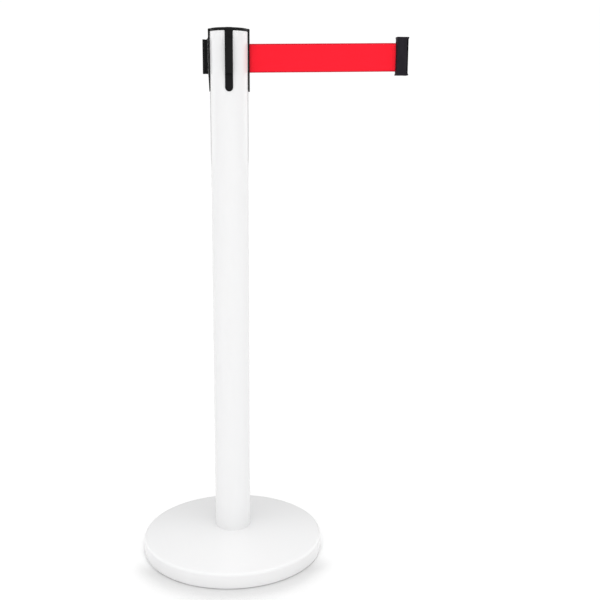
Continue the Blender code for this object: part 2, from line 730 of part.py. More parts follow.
def make_belt_end():
    """The belt's end, folded round a steel pin in the clip."""
    pin = rod("belt_anchor_pin", PIN_R, END_LOW - 1.5 * MM, END_HIGH + 1.5 * MM, TINY, STEEL, (PIN_X, 0.0))
    loop_r = PIN_R + GAP + BELT_T / 2
    half = 0.6 * MM
    turn = math.degrees(math.asin(half / loop_r))
    path = [(CLIP_X0 + GAP, half), *arc((PIN_X, 0.0), loop_r, 180.0 - turn, -180.0 + turn, 16)]
    path.append((CLIP_X0 + GAP, -half))
    return [pin, ribbon("belt_end_loop", path, END_LOW, END_HIGH, BELT_T, RED_WEBBING)]


def carry(name, location, pieces):
    """Parents the pieces of a moving body to an empty on its joint's axis, without moving them."""
    carrier = bpy.data.objects.new(name, None)
    carrier.location = location
    PARTS.objects.link(carrier)
    for piece in pieces:
        piece.parent = carrier
        piece.matrix_parent_inverse = Matrix.Translation(location).inverted()


make_floor_ring()
make_base_weight()
make_base_cover()
make_clamp_bolt()
make_foot_plate()
make_post_tube()
make_head_casing()
make_casing_floor()
make_head_cap()
make_receiver_rails()
make_axle()
make_belt_lead()
carry("spool_axis", (0.0, 0.0, BELT_Z), [*make_spool(), *make_spring_drum(), make_belt_roll()])
carry("belt_end_slide", (CLIP_X0, 0.0, BELT_Z), [make_belt_strap(), make_clip_body(), *make_belt_end()])
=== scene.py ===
"""Looks of the retractable belt stanchion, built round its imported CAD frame.

Metres, +Z up. The belt runs towards +X, and the camera stands on the -Y side.
"""

import math

import bmesh
import bpy
from mathutils import Matrix, Vector


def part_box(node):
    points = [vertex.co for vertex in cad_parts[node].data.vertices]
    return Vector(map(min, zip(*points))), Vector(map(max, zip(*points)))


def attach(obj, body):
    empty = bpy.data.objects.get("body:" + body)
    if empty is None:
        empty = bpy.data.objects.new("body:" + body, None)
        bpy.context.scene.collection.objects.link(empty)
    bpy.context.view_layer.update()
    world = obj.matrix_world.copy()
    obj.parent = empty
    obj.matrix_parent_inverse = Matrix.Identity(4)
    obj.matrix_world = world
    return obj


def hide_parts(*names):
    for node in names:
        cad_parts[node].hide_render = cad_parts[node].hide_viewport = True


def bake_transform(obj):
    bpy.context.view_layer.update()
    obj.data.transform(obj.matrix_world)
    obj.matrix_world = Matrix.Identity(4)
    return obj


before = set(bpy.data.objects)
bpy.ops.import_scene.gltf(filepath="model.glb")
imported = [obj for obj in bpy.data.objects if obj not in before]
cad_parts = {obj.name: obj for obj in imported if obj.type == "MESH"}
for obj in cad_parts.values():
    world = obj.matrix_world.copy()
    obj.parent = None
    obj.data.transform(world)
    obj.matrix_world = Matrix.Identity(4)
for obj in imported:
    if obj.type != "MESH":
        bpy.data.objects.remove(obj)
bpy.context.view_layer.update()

MM = 0.001
GAP = 0.3 * MM  # the room between neighbouring CAD pieces
SCENE = bpy.context.scene

# ---------------------------------------------------------------- sizes, from the CAD nodes
tube_low, tube_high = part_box("post_tube")
cover_low, cover_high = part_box("base_cover")
cap_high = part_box("head_cap")[1]
casing_low, casing_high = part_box("head_casing")
rail_low, rail_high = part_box("receiver_rail_left")
belt_low, belt_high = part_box("belt_strap")
roll_low, roll_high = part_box("belt_roll")
clip_low, clip_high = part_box("clip_body")
ring_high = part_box("floor_ring")[1]
weight_low, weight_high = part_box("base_weight")
bolt_low, bolt_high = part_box("clamp_bolt")

POST_R = tube_high.x
WALL = 1.2 * MM  # of the tube and of the cover
RIB_R = casing_high.x
RIB_HALF_W = 6.4 * MM
RIB_BOTTOM = 810.8 * MM
RIB_TAPER_Z = 838.0 * MM  # below this the three ribs with rails lean in
RIB_FOOT_R = 32.7 * MM
RIB_CROWN = 0.12 * MM
SLOT_GAP = 0.06 * MM  # between a rib and the tube's slot
CASING_R = 30.0 * MM
CASING_IN_R = 28.0 * MM
RAIL_R = -rail_low.x
CAP_T = cap_high.z - tube_high.z - GAP
CLIP_X0 = clip_low.x
CLIP_X1 = clip_high.x
BELT_T = belt_high.y - belt_low.y
BELT_HALF_W = (roll_high.z - roll_low.z) / 2
BELT_MID_Z = (roll_high.z + roll_low.z) / 2
BELT_RISE = (belt_high.z - belt_low.z) - 2 * BELT_HALF_W
END_MID_Z = BELT_MID_Z + BELT_RISE
SELVEDGE_W = 1.7 * MM
HEM_X = CLIP_X0 - 8.0 * MM
STRAP_ROOT_X = 26.1 * MM
STRAP_END_X = HEM_X - 0.6 * MM
IN_CLIP = 1.0 * MM  # how far the hem is seen to go into the clip
LEAD_BEND_R = 2.0 * MM  # of the belt round the outlet's lip


# ---------------------------------------------------------------- mesh helpers
def mesh_of(bm, name):
    bmesh.ops.recalc_face_normals(bm, faces=bm.faces)
    mesh = bpy.data.meshes.new(name)
    bm.to_mesh(mesh)
    bm.free()
    return mesh


def new_object(name, mesh):
    made = bpy.data.objects.new(name, mesh)
    SCENE.collection.objects.link(made)
    return made


def baked(made):
    """Applies the modifiers to the mesh."""
    depsgraph = bpy.context.evaluated_depsgraph_get()
    mesh = bpy.data.meshes.new_from_object(made.evaluated_get(depsgraph))
    made.modifiers.clear()
    made.data = mesh
    return made


def combine(made, other, operation):
    """A Boolean with another object, which is used up."""
    step = made.modifiers.new("Boolean", "BOOLEAN")
    step.operation = operation
    step.solver = "EXACT"
    step.object = other
    baked(made)
    bpy.data.objects.remove(other, do_unlink=True)
    return made


def bevelled(made, width):
    step = made.modifiers.new("Bevel", "BEVEL")
    step.width = width
    step.segments = 3
    step.limit_method = "ANGLE"
    step.angle_limit = math.radians(30.0)
    step.use_clamp_overlap = True
    return baked(made)


def smoothed(made, angle=35.0):
    """Smooth shading, with sharp edges where faces turn by more than the angle."""
    made.data.polygons.foreach_set("use_smooth", [True] * len(made.data.polygons))
    made.data.set_sharp_from_angle(angle=math.radians(angle))
    return made


def weighted(made):
    """Lets the large faces set the shading at their edges."""
    step = made.modifiers.new("Normals", "WEIGHTED_NORMAL")
    step.keep_sharp = True
    step.weight = 50
    return made


def arc(centre, radius, start, end, steps):
    angles = [math.radians(start + (end - start) * i / steps) for i in range(steps + 1)]
    return [(centre[0] + radius * math.cos(a), centre[1] + radius * math.sin(a)) for a in angles]


def mirrored(points):
    """A half outline of (x, y) points, closed by its mirror image across y = 0."""
    return points + [(x, -y) for x, y in reversed(points)]


def filleted(points, radius, steps=5):
    """A closed outline with its corners rounded. The radius is one number, or one for each corner."""
    out = []
    count = len(points)
    for i, corner in enumerate(points):
        wanted = radius[i] if isinstance(radius, (list, tuple)) else radius
        here = Vector(corner)
        back = Vector(points[i - 1]) - here
        ahead = Vector(points[(i + 1) % count]) - here
        half = back.angle(ahead) / 2
        if wanted <= 0.0 or half > math.pi / 2 - 0.01:
            out.append(tuple(here))
            continue
        reach = min(wanted / math.tan(half), 0.49 * min(back.length, ahead.length))
        r = reach * math.tan(half)
        middle = (back.normalized() + ahead.normalized()).normalized()
        centre = here + middle * (r / math.sin(half))
        first = here + back.normalized() * reach - centre
        last = here + ahead.normalized() * reach - centre
        start = math.atan2(first.y, first.x)
        sweep = math.atan2(last.y, last.x) - start
        sweep = (sweep + math.pi) % (2 * math.pi) - math.pi
        for k in range(steps + 1):
            a = start + sweep * k / steps
            out.append((centre.x + r * math.cos(a), centre.y + r * math.sin(a)))
    return out


def lathe(name, outline, segments, centre=(0.0, 0.0)):
    """A closed outline of (radius, height) points turned about a vertical axis."""
    at_axis = 1e-7
    bm = bmesh.new()
    rings = []
    for s in range(segments):
        a = 2 * math.pi * s / segments
        c, n = math.cos(a), math.sin(a)
        rings.append([bm.verts.new((centre[0] + r * c, centre[1] + r * n, z)) for r, z in outline])
    for s in range(segments):
        here, there = rings[s], rings[(s + 1) % segments]
        for i in range(len(outline)):
            j = (i + 1) % len(outline)
            if outline[i][0] < at_axis and outline[j][0] < at_axis:
                continue
            bm.faces.new((here[i], here[j], there[j], there[i]))
    bmesh.ops.remove_doubles(bm, verts=bm.verts, dist=at_axis)
    return new_object(name, mesh_of(bm, name))


def add_skin(bm, rows):
    """A closed skin over rows of points, each with as many points as the next."""
    rings = [[bm.verts.new(p) for p in row] for row in rows]
    count = len(rows[0])
    for here, there in zip(rings, rings[1:]):
        for i in range(count):
            j = (i + 1) % count
            bm.faces.new((here[i], here[j], there[j], there[i]))
    bm.faces.new(rings[0])
    bm.faces.new(rings[-1])


def loft(name, rows):
    bm = bmesh.new()
    add_skin(bm, rows)
    return new_object(name, mesh_of(bm, name))


def prism(name, outline, low, high, axis="Z"):
    """An outline drawn in (x, y), (x, z) or (y, z) and extruded along Z, Y or X."""
    place = {
        "Z": lambda u, v, w: (u, v, w),
        "Y": lambda u, v, w: (u, w, v),
        "X": lambda u, v, w: (w, u, v),
    }[axis]
    return loft(name, [[place(u, v, w) for u, v in outline] for w in (low, high)])


def block(name, low, high):
    """A box, made only to be cut from or joined to a piece."""
    outline = [(low[0], low[1]), (high[0], low[1]), (high[0], high[1]), (low[0], high[1])]
    return prism(name, outline, low[2], high[2])


def turned_about_post(made, azimuth):
    made.data.transform(Matrix.Rotation(math.radians(azimuth), 4, "Z"))
    return made


# ---------------------------------------------------------------- materials
class Surface:
    """A material with a Principled shader and helpers that add nodes to it."""

    def __init__(self, name, colour, roughness, metallic=0.0, specular=0.5):
        self.material = bpy.data.materials.new(name)
        self.material.use_nodes = True
        self.tree = self.material.node_tree
        self.shader = self.tree.nodes["Principled BSDF"]
        self.shader.inputs["Base Color"].default_value = (*colour, 1.0)
        self.shader.inputs["Roughness"].default_value = roughness
        self.shader.inputs["Metallic"].default_value = metallic
        self.shader.inputs["Specular IOR Level"].default_value = specular
        self.coords = self.tree.nodes.new("ShaderNodeTexCoord").outputs["Object"]

    def node(self, kind, inputs=None, **settings):
        """A new node, with a value or another node's output at each of the named inputs."""
        made = self.tree.nodes.new(kind)
        for key, value in settings.items():
            setattr(made, key, value)
        for key, value in (inputs or {}).items():
            if isinstance(value, bpy.types.NodeSocket):
                self.tree.links.new(value, made.inputs[key])
            else:
                made.inputs[key].default_value = value
        return made

    def maths(self, operation, first, second=0.0):
        return self.node("ShaderNodeMath", {0: first, 1: second}, operation=operation).outputs[0]

    def noise(self, scale, detail=2.0, roughness=0.5, stretch=(1.0, 1.0, 1.0)):
        place = self.node("ShaderNodeMapping", {"Vector": self.coords, "Scale": stretch}).outputs[0]
        inputs = {"Vector": place, "Scale": scale, "Detail": detail, "Roughness": roughness}
        return self.node("ShaderNodeTexNoise", inputs).outputs["Fac"]

    def ranged(self, value, low, high, start=0.3, end=0.7):
        """Goes from low to high as the value goes from start to end."""
        inputs = {"Value": value, "From Min": start, "From Max": end, "To Min": low, "To Max": high}
        return self.node("ShaderNodeMapRange", inputs).outputs[0]

    def stepped(self, value, start, end):
        """Eases from 0 at the start to 1 at the end."""
        inputs = {"Value": value, "From Min": start, "From Max": end}
        return self.node("ShaderNodeMapRange", inputs, interpolation_type="SMOOTHSTEP").outputs[0]

    def mixed(self, share, first, second):
        made = self.node("ShaderNodeMix", {0: share}, data_type="RGBA")
        for index, colour in ((6, first), (7, second)):
            if isinstance(colour, bpy.types.NodeSocket):
                self.tree.links.new(colour, made.inputs[index])
            else:
                made.inputs[index].default_value = (*colour, 1.0)
        return made.outputs[2]

    def drive(self, **sockets):
        names = {"colour": "Base Color", "roughness": "Roughness", "normal": "Normal"}
        for key, value in sockets.items():
            self.tree.links.new(value, self.shader.inputs[names[key]])

    def bump(self, height, depth, onto=None):
        inputs = {"Height": height, "Distance": depth, "Strength": 1.0}
        if onto is not None:
            inputs["Normal"] = onto
        return self.node("ShaderNodeBump", inputs).outputs[0]


def powder_coat():
    """Glossy white powder coat: a faint orange peel and a slight change of tone and gloss."""
    s = Surface("white_powder_coat", (0.82, 0.82, 0.822), 0.16, specular=0.55)
    tone = s.noise(5.0, detail=2.0)
    s.drive(colour=s.mixed(s.ranged(tone, 0.0, 1.0), (0.815, 0.815, 0.819), (0.823, 0.823, 0.825)))
    s.drive(roughness=s.ranged(s.noise(45.0, detail=3.0), 0.14, 0.19))
    s.drive(normal=s.bump(s.noise(420.0, detail=1.0), 0.0025 * MM))
    return s.material


def moulded_abs(name, colour, lighter, specular=0.12, gloss=0.40):
    """Black moulded plastic with a fine spark-eroded grain and faint handling marks."""
    s = Surface(name, colour, gloss, specular=specular)
    marks = s.noise(95.0, detail=5.0, roughness=0.65, stretch=(1.0, 1.0, 0.35))
    s.drive(colour=s.mixed(s.ranged(marks, 0.0, 1.0, 0.45, 0.75), colour, lighter))
    s.drive(roughness=s.ranged(s.noise(160.0, detail=4.0), gloss - 0.10, gloss + 0.10))
    grain = s.bump(s.noise(3600.0, detail=2.0), 0.010 * MM)
    s.drive(normal=s.bump(s.noise(240.0, detail=2.0), 0.012 * MM, grain))
    return s.material


def webbing(name, colour, shade, relief):
    """Woven polyester: warp cords along the belt, crossed by weft in a fine twill, with painted shade in the
    weave's hollows.
    """
    s = Surface(name, colour, 0.72, specular=0.12)
    axes = s.node("ShaderNodeSeparateXYZ", {0: s.coords})
    along, up = axes.outputs["X"], axes.outputs["Z"]
    warp_pitch, weft_pitch = 0.62 * MM, 0.95 * MM
    warp = s.maths("ABSOLUTE", s.maths("SINE", s.maths("MULTIPLY", up, math.pi / warp_pitch)))
    run = s.maths("ADD", s.maths("DIVIDE", along, weft_pitch), s.maths("DIVIDE", up, 2 * warp_pitch))
    weft = s.maths("SINE", s.maths("MULTIPLY", run, 2 * math.pi))
    weave = s.maths("MULTIPLY", warp, s.ranged(weft, 0.55, 1.0, -1.0, 1.0))
    fuzz = s.noise(1500.0, detail=3.0)
    slub = s.noise(210.0, detail=2.0, stretch=(0.15, 1.0, 1.0))
    s.drive(normal=s.bump(s.maths("ADD", weave, s.maths("MULTIPLY", fuzz, 0.35)), relief))
    # painted shade: the colour turns towards the darker one where the weave is low; the slubs below are
    # random tone
    woven = s.mixed(s.ranged(weave, 0.55, 0.0, 0.1, 0.8), colour, shade)
    s.drive(colour=s.mixed(s.ranged(slub, 0.0, 0.30), woven, shade))
    s.drive(roughness=s.ranged(fuzz, 0.64, 0.82))
    return s.material


def drawn_steel(name, colour, gloss, stretch):
    """Steel with faint blotches and the fine lines of its drawing."""
    s = Surface(name, colour, gloss, metallic=1.0)
    blotch = s.noise(180.0, detail=4.0)
    darker = tuple(c * 0.78 for c in colour)
    s.drive(colour=s.mixed(s.ranged(blotch, 0.0, 1.0), colour, darker))
    lines = s.noise(900.0, detail=3.0, stretch=stretch)
    s.drive(roughness=s.ranged(lines, gloss - 0.08, gloss + 0.12))
    s.drive(normal=s.bump(lines, 0.004 * MM))
    return s.material


def cast_iron():
    """Sand-cast iron under a thin black primer."""
    s = Surface("cast_iron_primed", (0.055, 0.055, 0.057), 0.7, specular=0.3)
    sand = s.noise(900.0, detail=5.0, roughness=0.7)
    lumps = s.noise(70.0, detail=3.0)
    s.drive(colour=s.mixed(s.ranged(lumps, 0.0, 1.0), (0.050, 0.050, 0.052), (0.085, 0.080, 0.076)))
    s.drive(roughness=s.ranged(sand, 0.58, 0.85))
    s.drive(normal=s.bump(lumps, 0.25 * MM, s.bump(sand, 0.10 * MM)))
    return s.material


def rubber():
    """Black rubber with a little dust in its grain."""
    s = Surface("black_rubber", (0.018, 0.018, 0.018), 0.85, specular=0.25)
    dust = s.noise(45.0, detail=5.0)
    s.drive(colour=s.mixed(s.ranged(dust, 0.0, 1.0, 0.5, 0.8), (0.016, 0.016, 0.016), (0.045, 0.044, 0.042)))
    s.drive(roughness=s.ranged(dust, 0.75, 0.95))
    s.drive(normal=s.bump(s.noise(1800.0, detail=2.0), 0.012 * MM))
    return s.material


def natural_nylon():
    """Undyed nylon, clouded along its flow."""
    s = Surface("natural_nylon", (0.78, 0.76, 0.70), 0.42)
    flow = s.noise(110.0, detail=3.0, stretch=(1.0, 1.0, 0.3))
    s.drive(colour=s.mixed(s.ranged(flow, 0.0, 1.0), (0.80, 0.78, 0.73), (0.72, 0.70, 0.63)))
    s.drive(roughness=s.ranged(flow, 0.36, 0.52))
    s.drive(normal=s.bump(s.noise(1400.0, detail=2.0), 0.004 * MM))
    return s.material


WHITE = powder_coat()
BLACK = moulded_abs("black_moulded_abs", (0.0058, 0.0058, 0.0060), (0.0105, 0.0105, 0.0110))
# near-black without gloss, for the faces inside the clip's side grooves: painted shade in the grooves
GROOVE_PAINTED_SHADE = moulded_abs("groove_painted_shade", (0.0022, 0.0022, 0.0024), (0.0040, 0.0040, 0.0044), 0.02, 0.60)
CHARCOAL = moulded_abs("charcoal_clip_abs", (0.0095, 0.0075, 0.0125), (0.0150, 0.0125, 0.0185), 0.16, 0.44)
# each webbing's second colour is its painted shade in the weave's hollows, and also tints its random slubs
RED = webbing("red_polyester_webbing", (0.985, 0.0125, 0.031), (0.89, 0.009, 0.024), 0.026 * MM)
# the belt's woven edges are real; their much darker red is painted shade along both edges
SELVEDGE_PAINTED_SHADE = webbing("red_selvedge_painted_shade", (0.56, 0.010, 0.024), (0.44, 0.007, 0.016), 0.040 * MM)
THREAD = webbing("red_sewing_thread", (0.95, 0.040, 0.060), (0.88, 0.022, 0.040), 0.010 * MM)
ZINC = drawn_steel("zinc_plated_steel", (0.56, 0.57, 0.59), 0.32, (1.0, 1.0, 0.08))
SPRING = drawn_steel("blued_spring_steel", (0.20, 0.23, 0.29), 0.28, (1.0, 1.0, 0.03))
IRON = cast_iron()
RUBBER = rubber()
NYLON = natural_nylon()

NODE_FINISH = {
    "white_paint": WHITE,
    "black_abs": BLACK,
    "red_webbing": RED,
    "cast_iron": IRON,
    "rubber": RUBBER,
    "steel": ZINC,
    "spring_steel": SPRING,
    "nylon": NYLON,
}


def refinish_nodes():
    """Gives each CAD node the procedural material of its own slot."""
    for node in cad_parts.values():
        slot = node.data.materials[0].name.split(".")[0]
        node.data.materials.clear()
        node.data.materials.append(NODE_FINISH[slot])


def dressed(made, finish, slot, body, *nodes):
    """Gives a new piece its material if it has none and its body, and hides the CAD nodes that it stands for.
    """
    if not made.data.materials:
        made.data.materials.append(finish)
    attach(made, body)
    if nodes:
        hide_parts(*nodes)
    return made


# ---------------------------------------------------------------- base
def make_base_cover():
    """The spun cover: a rolled edge round the post, a shallow cone, a tight shoulder and a hemmed rim."""
    hole_r = POST_R + 0.04 * MM
    foot_z = cover_high.z
    rim_r = cover_high.x
    bottom = cover_low.z - 0.4 * MM
    rim_z = 27.5 * MM
    lip = 2.2 * MM
    shoulder = 5.0 * MM
    hem_r, fold_r = 0.6 * MM, 1.1 * MM
    tilt = math.degrees(math.atan2(foot_z - rim_z, rim_r - hole_r))
    centre = (rim_r - shoulder, rim_z - shoulder)
    outline = [
        (hole_r, foot_z - lip),
        (hole_r, foot_z),
        (hole_r + 0.8 * MM, foot_z - 0.06 * MM),
    ]
    start = Vector(outline[-1])
    end = Vector(arc(centre, shoulder, 90.0 - tilt, 0.0, 1)[0])
    steps = 16
    for k in range(1, steps):
        outline.append(tuple(start.lerp(end, k / steps)))
    outline += arc(centre, shoulder, 90.0 - tilt, 0.0, 14)
    outline.append((rim_r, bottom + 8.0 * MM))
    outline += arc((rim_r - hem_r, bottom + hem_r), hem_r, 0.0, -90.0, 6)
    outline += arc((rim_r - 2.0 * MM, bottom + fold_r), fold_r, -90.0, -180.0, 5)
    outline.append((rim_r - 3.1 * MM, bottom + 3.0 * MM))
    outline.append((rim_r - 1.3 * MM, bottom + 6.0 * MM))
    outline += arc(centre, shoulder - WALL, 0.0, 90.0 - tilt, 8)
    outline.append((hole_r + WALL, foot_z - lip))
    piece = smoothed(lathe("cover_shell", outline, 256), 50.0)
    return dressed(piece, WHITE, "white_paint", "root", "base_cover")


def make_floor_ring():
    """The rubber ring, with three grooves in its sole."""
    outer, top = ring_high.x, ring_high.z
    inner = outer - 12.0 * MM
    outline = [(inner, top), (outer, top), (outer, 0.0)]
    depth = 0.8 * MM
    for middle in (150.0, 147.0, 144.0):
        outline += [
            ((middle + 0.7) * MM, 0.0),
            ((middle + 0.5) * MM, depth),
            ((middle - 0.5) * MM, depth),
            ((middle - 0.7) * MM, 0.0),
        ]
    outline.append((inner, 0.0))
    piece = lathe("ring_rubber", filleted(outline, 0.25 * MM, 3), 192)
    return dressed(smoothed(piece), RUBBER, "rubber", "root", "floor_ring")


def make_base_weight():
    """The casting, with drafted faces and cast fillets."""
    low, hub_top = weight_low.z, weight_high.z
    plate_top = low + 11.0 * MM
    rim_top = plate_top + 4.0 * MM
    rim_r = weight_high.x
    bore_r, recess_r, recess_top = 7.0 * MM, 22.0 * MM, 14.8 * MM
    outline = [
        (bore_r, hub_top),
        (34.5 * MM, hub_top),
        (44.0 * MM, plate_top + 10.0 * MM),
        (58.0 * MM, plate_top),
        (rim_r - 16.0 * MM, plate_top),
        (rim_r - 12.0 * MM, rim_top),
        (rim_r, rim_top),
        (rim_r, low),
        (recess_r, low),
        (recess_r, recess_top),
        (bore_r, recess_top),
    ]
    radii = [0.8, 1.5, 4.0, 4.0, 2.0, 2.0, 2.0, 1.5, 1.5, 0.8, 0.8]
    piece = lathe("weight_casting", filleted(outline, [r * MM for r in radii], 5), 160)
    return dressed(smoothed(piece), IRON, "cast_iron", "root", "base_weight")


def make_clamp_bolt():
    """The bolt with a chamfered head, a washer face and a rounded end."""
    head_r, head_low, head_top = 10.97 * MM, bolt_low.z, bolt_low.z + 7.5 * MM
    corners = []
    for k in range(6):
        a = math.radians(60 * k)
        corners.append((head_r * math.cos(a), head_r * math.sin(a)))
    piece = prism("bolt_m12", corners, head_low, head_top)
    chamfer_r, bell_r, clear = 9.3 * MM, head_r + 0.4 * MM, 0.001 * MM
    bell = [
        (0.0, head_low - clear),
        (chamfer_r, head_low - clear),
        (bell_r, head_low + 1.2 * MM),
        (bell_r, head_top - 0.5 * MM),
        (chamfer_r + 0.6 * MM, head_top + clear),
        (0.0, head_top + clear),
    ]
    combine(piece, lathe("bolt_bell", bell, 96), "INTERSECT")
    shank_r, root_z = 6.0 * MM, head_top - 2.0 * MM
    shank = [
        (0.0, root_z),
        (shank_r, root_z),
        (shank_r, bolt_high.z - 1.0 * MM),
        (5.0 * MM, bolt_high.z),
        (0.0, bolt_high.z),
    ]
    combine(piece, lathe("bolt_shank", shank, 48), "UNION")
    return dressed(smoothed(piece, 25.0), ZINC, "steel", "root", "clamp_bolt")


# ---------------------------------------------------------------- post
WELD = 1e-6


def close_seam(bm):
    """Splits the open edges where a vertex of the other side lies on them, and joins the two sides."""
    for vert in [v for v in bm.verts if v.is_boundary]:
        for edge in [e for e in bm.edges if e.is_boundary and vert not in e.verts]:
            start, end = edge.verts[0].co, edge.verts[1].co
            share = (vert.co - start).dot(end - start) / (end - start).length_squared
            if 0 < share < 1 and (start.lerp(end, share) - vert.co).length < WELD:
                bmesh.utils.edge_split(edge, edge.verts[0], share)
    bmesh.ops.remove_doubles(bm, verts=bm.verts, dist=WELD)


def make_post_tube():
    """The tube, drawn flat with its slots and soft edges and then rolled up round the post's axis."""
    edge_r = 0.25 * MM
    middle_r = POST_R - WALL / 2
    girth = 2 * math.pi * middle_r
    slot_half = middle_r * math.asin((RIB_HALF_W + SLOT_GAP) / POST_R)
    slot_z = RIB_BOTTOM - SLOT_GAP + slot_half
    margin = 3.0 * MM  # of sheet beyond the seam, trimmed off before the rolling
    mouth_r = 1.2 * MM
    corners = [(-margin, tube_low.z), (girth + margin, tube_low.z), (girth + margin, tube_high.z)]
    radii = [0.0, 0.0, 0.0]
    for quarter in (3.5, 2.5, 1.5, 0.5):
        u = girth * quarter / 4
        corners.append((u + slot_half, tube_high.z))
        radii.append(mouth_r)
        bottom = arc((u, slot_z), slot_half, 0.0, -180.0, 24)
        corners += bottom
        radii += [0.0] * len(bottom)
        corners.append((u - slot_half, tube_high.z))
        radii.append(mouth_r)
    corners.append((-margin, tube_high.z))
    radii.append(0.0)
    outline = filleted(corners, radii, 5)

    curve = bpy.data.curves.new("tube_flat", "CURVE")
    curve.dimensions = "2D"
    curve.fill_mode = "BOTH"
    curve.extrude = WALL / 2 - edge_r
    curve.bevel_depth = edge_r
    curve.bevel_resolution = 3
    curve.offset = -edge_r
    spline = curve.splines.new("POLY")
    spline.points.add(len(outline) - 1)
    for point, (u, z) in zip(spline.points, outline):
        point.co = (u, z, 0.0, 1.0)
    spline.use_cyclic_u = True
    holder = new_object("tube_flat", curve)
    depsgraph = bpy.context.evaluated_depsgraph_get()
    mesh = bpy.data.meshes.new_from_object(holder.evaluated_get(depsgraph))
    bpy.data.objects.remove(holder, do_unlink=True)

    bm = bmesh.new()
    bm.from_mesh(mesh)
    bmesh.ops.remove_doubles(bm, verts=bm.verts, dist=WELD / 2)
    columns = 192
    for k in range(columns + 1):
        everything = bm.verts[:] + bm.edges[:] + bm.faces[:]
        bmesh.ops.bisect_plane(
            bm,
            geom=everything,
            dist=1e-7,
            plane_co=(girth * k / columns, 0.0, 0.0),
            plane_no=(1.0, 0.0, 0.0),
            clear_inner=k == 0,
            clear_outer=k == columns,
        )
    for vert in bm.verts:
        u, z, off = vert.co
        # an eighth of a turn back, so that the slots face the four sides
        a = 2 * math.pi * (u / girth) - math.pi / 4
        r = middle_r + off
        vert.co = (r * math.cos(a), r * math.sin(a), z)
    bmesh.ops.remove_doubles(bm, verts=bm.verts, dist=WELD)
    close_seam(bm)
    piece = new_object("post_shell", mesh_of(bm, "post_shell"))
    smoothed(piece, 60.0)
    # true normals on the round faces, where the strips are too long and thin to give them
    normals = []
    inner_r = POST_R - WALL
    for vert in piece.data.vertices:
        out = Vector((vert.co.x, vert.co.y, 0.0))
        if abs(out.length - POST_R) < 2 * WELD:
            normals.append(out.normalized())
        elif abs(out.length - inner_r) < 2 * WELD:
            normals.append(-out.normalized())
        else:
            normals.append(vert.normal.copy())
    piece.data.normals_split_custom_set_from_vertices(normals)
    return dressed(piece, WHITE, "white_paint", "root", "post_tube")


# ---------------------------------------------------------------- head
def rib_section(z, front_r, half_w, edge_r):
    """A rib's plan at one height: soft front corners and a slightly crowned face."""
    back_r = CASING_R - 1.0 * MM
    edge = min(edge_r, half_w * 0.8)
    corner_x, corner_y = front_r - edge, half_w - edge
    points = [(back_r, -half_w)]
    points += [(corner_x + x, -corner_y + y) for x, y in arc((0.0, 0.0), edge, -90.0, -15.0, 5)]
    points += [(front_r + RIB_CROWN * (1 - (k / 3) ** 2), corner_y * k / 3) for k in range(-3, 4)]
    points += [(corner_x + x, corner_y + y) for x, y in arc((0.0, 0.0), edge, 15.0, 90.0, 5)]
    points.append((back_r, half_w))
    return [(x, y, z) for x, y in points]


def make_rib(azimuth, tapered):
    """A rib with a round, soft-edged foot, which leans in towards the foot where it is tapered."""
    edge_r = 0.5 * MM
    rows = []
    angles = [math.radians(7.5 * k) for k in range(1, 13)]
    heights = [RIB_BOTTOM + RIB_HALF_W * (1 - math.cos(a)) for a in angles]
    heights += [RIB_TAPER_Z, casing_high.z]
    for z in heights:
        above = z - RIB_BOTTOM
        half_w = RIB_HALF_W
        if above < RIB_HALF_W:
            half_w = math.sqrt(max(RIB_HALF_W**2 - (RIB_HALF_W - above) ** 2, 0.0))
        front_r = RIB_R
        if tapered and z < RIB_TAPER_Z:
            front_r = RIB_FOOT_R + (RIB_R - RIB_FOOT_R) * above / (RIB_TAPER_Z - RIB_BOTTOM)
        if above < edge_r:
            front_r -= edge_r * (1 - math.sqrt(1 - ((edge_r - above) / edge_r) ** 2))
        rows.append(rib_section(z, front_r - RIB_CROWN, half_w, edge_r))
    return turned_about_post(loft(f"rib_{azimuth:.0f}", rows), azimuth)


def make_head_moulding():
    """The moulded sleeve in the tube and its four ribs, with the belt's outlet in the right one."""
    outline = [
        (CASING_IN_R, casing_high.z),
        (CASING_R, casing_high.z),
        (CASING_R, casing_low.z),
        (CASING_IN_R, casing_low.z),
    ]
    piece = lathe("head_moulding", outline, 160)
    for azimuth in (0.0, 90.0, 180.0, 270.0):
        combine(piece, make_rib(azimuth, azimuth != 0.0), "UNION")
    room = 1.6 * MM
    slot_low = BELT_MID_Z - BELT_HALF_W - room
    slot_high = END_MID_Z + BELT_HALF_W + room
    half, mouth_half = 1.5 * MM, 2.1 * MM
    flare = [
        (CASING_IN_R - 4.0 * MM, -half),
        (RIB_R - 1.2 * MM, -half),
        (RIB_R - 0.4 * MM, -half - 0.15 * MM),
        (RIB_R + 0.1 * MM, -mouth_half),
        (RIB_R + 1.0 * MM, -mouth_half),
    ]
    combine(piece, prism("outlet", mirrored(flare), slot_low, slot_high), "DIFFERENCE")
    smoothed(piece, 32.0)
    return dressed(piece, BLACK, "black_abs", "root", "head_casing")


